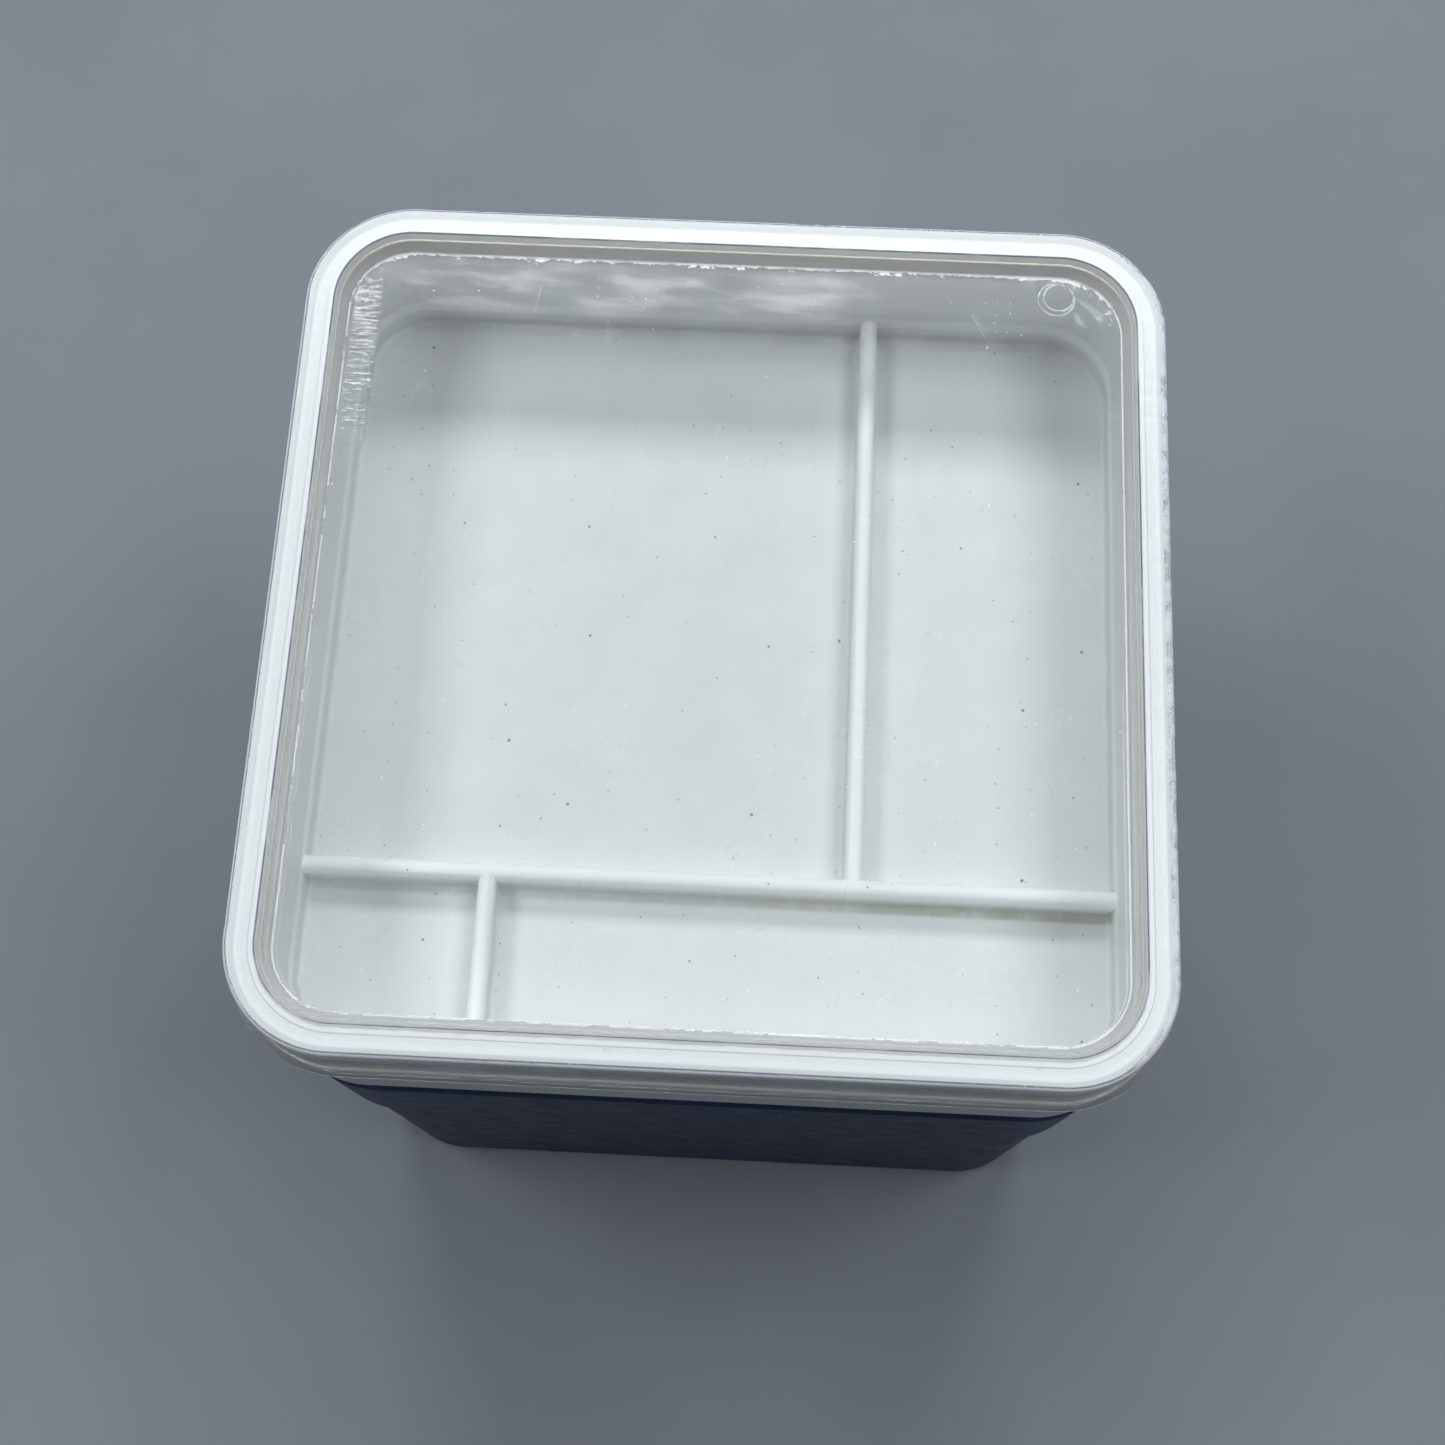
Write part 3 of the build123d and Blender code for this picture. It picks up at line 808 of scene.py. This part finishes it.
def sponge_point(p):
    """Where a point of the sponge goes once crowned and pulled in, and how deep a pore is there."""
    x, y, z = p / MM
    share = (z - pad_low.z) / (pad_high.z - pad_low.z)
    top = pad_high.z - 0.15 - PAD_CROWN * (max(abs(x), abs(y)) / pad_high.x) ** 4
    z = pad_low.z + share * (top - pad_low.z)
    along = min(abs(x), abs(y)) / pad_high.x
    pull = PAD_PULL * max(0.0, 1 - along ** 2) * math.sin(math.pi * min(max(share, 0), 1))
    if abs(x) > abs(y):
        x -= math.copysign(pull * (abs(x) / pad_high.x) ** 6, x)
    else:
        y -= math.copysign(pull * (abs(y) / pad_high.x) ** 6, y)
    spot = Vector((x, y, z)) / PORE_CELL
    near = noise.voronoi(spot)[0][0]
    size = 0.35 + 0.65 * (noise.cell(spot) > 0.45)
    return Vector((x, y, z)), max(0.0, 1 - near / PORE_RADIUS) * size


normals = [v.normal.copy() for v in pad.data.vertices]
for vertex, normal in zip(pad.data.vertices, normals):
    place, pore = sponge_point(vertex.co)
    lump = 0.05 * noise.noise(place / 5.0)
    vertex.co = (place - normal * (PORE_DEPTH * pore + PAD_INSET + lump)) * MM
for face in pad.data.polygons:
    face.use_smooth = True
finish_piece(pad, "sponge_pad", "sponge", SPONGE)

SHEET_CORNER, SHEET_THICK, SHEET_RINGS = 6.0, 0.15, 56


def sheet_height(x, y):
    """The sheet lies on the sponge, cockled a little where it is damp, its corners lifting."""
    cockle = 0.16 * (1 + noise.noise(Vector((x / 17, y / 11, 4.2))))
    cockle += 0.05 * noise.noise(Vector((x / 5, y / 7, 1.1)))
    corner = 0.5 * (max(0, math.hypot(x, y) - 60) / 14) ** 2
    return pad_high.z + 0.04 + cockle + corner


sheet_high = box_mm("palette_sheet")[1]
shares = [i / SHEET_RINGS for i in range(SHEET_RINGS, 0, -1)]
rings = [outline(sheet_high.x * share, SHEET_CORNER * share, 56, 8) for share in shares]
around = len(rings[0])
points = [(x, y, sheet_height(x, y)) for x, y in np.concatenate(rings + [np.zeros((1, 2))])]
faces = strips(SHEET_RINGS, around)
last = (SHEET_RINGS - 1) * around
faces += [(last + j, last + (j + 1) % around, len(points) - 1) for j in range(around)]
sheet = new_object("membrane_sheet", points, faces)
if sheet.data.polygons[0].normal.z < 0:
    sheet.data.flip_normals()
change = sheet.modifiers.new("thick", "SOLIDIFY")
change.thickness, change.offset = SHEET_THICK * MM, 1.0
smooth(bake(sheet), 60)
finish_piece(sheet, "palette_sheet", "sheet", PAPER)
width = 2 * sheet_high.x * MM

# ---------------------------------------------------------------- palette tray

# The tray's rim and the lid above it stay this far apart on each side of the CAD's joint.
CLEARANCE = 0.05
TRAY_SHOULDER, TRAY_UNDER = 121.6, 105.05
well_low, well_high = box_mm("palette_tray")
tray_rim = well_high.z - CLEARANCE
section = [(DECK, WELL_FLOOR, 0), (WELL, WELL_FLOOR, 0.7), (WELL, REBATE_Z, 0.2),
           (REBATE, REBATE_Z, 0.1), (REBATE, tray_rim, 0.04), (NECK, tray_rim, 0.3)]
section += tier_outside(TRAY_SHOULDER, well_high.x, well_low.z, TRAY_UNDER)
tray = skin("palette_tray_shell", skin_points(rounded(section, steps=8)))

RIDGE_SINK = 0.8
# The ridges run into the walls.
RIDGE_END = WELL + 1.2


def ridge(name, start, end, drop=0.0):
    """A ridge with a round top and a flared foot between two points of the tray's floor."""
    foot = RIDGE_HALF + RIDGE_FOOT
    shoulder = RIDGE_HEIGHT - RIDGE_HALF - drop
    quarter = arc(math.pi / 2, 8)
    right = [(foot, -RIDGE_SINK), (foot, -0.02)]
    right += [(foot - RIDGE_FOOT * math.sin(a), RIDGE_FOOT - RIDGE_FOOT * math.cos(a))
              for a in quarter[1:]]
    right += [(RIDGE_HALF * math.cos(a), shoulder + RIDGE_HALF * math.sin(a)) for a in quarter[:-1]]
    shape = right + [(0, shoulder + RIDGE_HALF)] + [(-u, v) for u, v in right[::-1]]
    start, end = Vector(start), Vector(end)
    along = (end - start).normalized()
    across = Vector((along.y, -along.x))
    middle = (start + end) / 2

    def place(u, v, w):
        spot = middle + across * u + along * w
        return (spot.x, spot.y, WELL_FLOOR + v)

    return prism(name, shape, place, (end - start).length)


# The short ridges are a hair lower, so that no two tops lie in one plane where they join.
join_solids(
    tray,
    ridge("long_ridge", (-RIDGE_END, LONG_RIDGE_Y), (RIDGE_END, LONG_RIDGE_Y)),
    ridge("back_ridge", (BACK_RIDGE_X, LONG_RIDGE_Y), (BACK_RIDGE_X, RIDGE_END), 0.004),
    ridge("front_ridge", (FRONT_RIDGE_X, -RIDGE_END), (FRONT_RIDGE_X, LONG_RIDGE_Y), 0.007))
smooth(tray, 40)
finish_piece(tray, "palette_tray", "palette", WHITE)

# ---------------------------------------------------------------- clear lid

LID_DECK, SKIRT_LOW, SKIRT_LOW_Z, LIP_TOP, LIP_INNER = 48.0, 60.3, 123.6, 122.9, 59.35
LID_SIDE, LID_CORNER = 200, 36
lid_low, lid_high = box_mm("clear_lid")
rim_under = well_high.z + CLEARANCE
section = [(LID_DECK, PANEL_TOP, 0), (PANEL, PANEL_TOP, 0.5), (RIM_INNER, LID_TOP, 0.35),
           (RIM_HALF, LID_TOP, 0.6), (SKIRT_LOW, SKIRT_LOW_Z, 0.15), (lid_high.x, LIP_TOP, 0.25),
           (lid_high.x, lid_low.z, 0.4), (LIP_INNER, lid_low.z, 0.15), (SKIRT_INNER, rim_under, 0.4),
           (LID_PLUG, rim_under, 0.25), (LID_PLUG, PANEL_UNDER, 0.45), (LID_DECK, PANEL_UNDER, 0)]
lid_points = skin_points(rounded(section, steps=8), LID_SIDE, LID_CORNER)
around = lid_points.shape[1]


def foot_wave(j):
    """How far the foot of the lid's recess strays, in and out, at one place round it."""
    side, i = divmod(j, LID_SIDE + LID_CORNER)
    if i >= LID_SIDE:
        return 0.05 * wobble(j * 0.42, 5)
    place = i / LID_SIDE * 2 * CORNER_CENTRE
    fade = min(1.0, place / 5, (2 * CORNER_CENTRE - place) / 5)
    # The right, back, left and front side
    waves = (
        0.05 * wobble(place / 9, 1) + 0.01 * wobble(place / 2, 11),
        0.06 * wobble(place / 0.9, 2) + 0.05 * wobble(place / 4, 12),
        0.09 * math.sin(2 * math.pi * (place / 6.0 + 0.4 * wobble(place / 25, 3))),
        0.05 * wobble(place / 6, 4) + 0.03 * wobble(place / 2.4, 14),
    )
    return waves[side] * fade


def chip_depth(j, x, y):
    """How deep the outer top edge is chipped at one place round it: deepest on the right."""
    weight = 1.0 if x > 55 else (0.6 if y > 55 and x > -10 else 0.25)
    chip = max(0.0, wobble(j * 0.45, 21) - 0.25) * max(0.0, wobble(j * 0.05, 22) + 0.25)
    return min(0.22, 0.5 * chip * weight)


def closeness(half, height, to_half, to_height, reach):
    """1 at a place on the lid's section, falling away around it."""
    return math.exp(-((half - to_half) ** 2 + (height - to_height) ** 2) / reach ** 2)


outward = lid_points[0, :, :2] - np.clip(lid_points[0, :, :2], -CORNER_CENTRE, CORNER_CENTRE)
outward /= np.linalg.norm(outward, axis=1)[:, None]
waves = np.array([foot_wave(j) for j in range(around)])
for ring in lid_points:
    half, _, height = ring[0]
    if height > PANEL_TOP - 0.5 and half > 48.5:
        moved = waves * closeness(half, height, PANEL, PANEL_TOP, 0.6)
        ring[:, :2] += outward * moved[:, None]
        ring[:, 2] += 0.35 * moved
    at_edge = closeness(half, height, RIM_HALF, LID_TOP, 0.5)
    if at_edge > 0.02 and half > 58:
        depths = np.array([chip_depth(j, *ring[j, :2]) for j in range(around)]) * at_edge
        ring[:, :2] -= outward * depths[:, None]
        ring[:, 2] -= depths

lid = smooth(skin("lid_shell", lid_points))
finish_piece(lid, "clear_lid", "lid", CLEAR)

# Moulding marks of an ejector pin, the second one a light double strike: x, y, radius, height, width
PIN_MARKS = ((45.6, 51.3, 2.1, 0.10, 0.16), (45.3, 51.05, 2.55, 0.05, 0.10))
PIN_STEPS, PIN_SINK = 64, 0.02
for number, (x, y, radius, height, width) in enumerate(PIN_MARKS, 1):
    low, high = PANEL_TOP - PIN_SINK, PANEL_TOP + height
    profile = [(radius - width, low), (radius - width / 2, high), (radius + width / 2, high),
               (radius + width, low)]
    points = turned(profile, (x, y), PIN_STEPS)
    faces = strips(len(profile), PIN_STEPS, loop=True)
    mark = smooth(new_object(f"pin_mark_{number}", points, faces), 80)
    mark.data.materials.append(CLEAR)
    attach(mark, "lid")

# ---------------------------------------------------------------- floor, light and camera

# The floor's half-width, in metres
TABLE_HALF = 3.0
mesh = bpy.data.meshes.new("table")
corners = [(-1, -1), (1, -1), (1, 1), (-1, 1)]
mesh.from_pydata([(TABLE_HALF * x, TABLE_HALF * y, 0) for x, y in corners], [], [(0, 1, 2, 3)])
floor = bpy.data.objects.new("table", mesh)
bpy.context.scene.collection.objects.link(floor)
floor.data.materials.append(table_top())

# The lights' distances and sizes are in metres, and their power in watts.
LIGHT_DISTANCE, LIGHT_COLOUR = 1.2, (0.955, 0.98, 0.98)


def area_light(name, azimuth, tilt, width, height, power):
    """A panel light that faces the lid. Azimuth 0 is the right and 90 the back, tilt is from overhead."""
    data = bpy.data.lights.new(name, "AREA")
    data.shape, data.size, data.size_y = "RECTANGLE", width, height
    data.energy, data.color = power, LIGHT_COLOUR
    made = bpy.data.objects.new(name, data)
    a, t = math.radians(azimuth), math.radians(tilt)
    back = Vector((math.cos(a) * math.sin(t), math.sin(a) * math.sin(t), math.cos(t)))
    made.location = Vector((0, 0, LID_TOP * MM)) + back * LIGHT_DISTANCE
    made.rotation_euler = back.to_track_quat("Z", "Y").to_euler()
    bpy.context.scene.collection.objects.link(made)


area_light("back_light", 90, 40, 0.8, 0.25, 7.1)
area_light("left_light", 176, 35.5, 0.7, 0.32, 5.4)
area_light("right_light", 4, 28.5, 0.7, 0.42, 5.3)

world = bpy.data.worlds.new("studio")
bpy.context.scene.world = world
world.use_nodes = True
background = world.node_tree.nodes["Background"]
background.inputs["Color"].default_value = (0.80, 0.88, 1.0, 1)
background.inputs["Strength"].default_value = 0.055

camera_data = bpy.data.cameras.new("camera")
camera_data.lens, camera_data.sensor_width = 47.73, 36.0
camera_data.clip_start, camera_data.clip_end = 0.01, 50.0
camera = bpy.data.objects.new("camera", camera_data)
camera.location = (0.00681, -0.09030, 0.36870)
camera.rotation_euler = [math.radians(v) for v in (17.752, 0.414, 2.818)]
bpy.context.scene.collection.objects.link(camera)
bpy.context.scene.camera = camera
bpy.context.scene.view_settings.view_transform = "Standard"
cycles = bpy.context.scene.cycles
cycles.max_bounces, cycles.glossy_bounces, cycles.transmission_bounces = 16, 10, 16
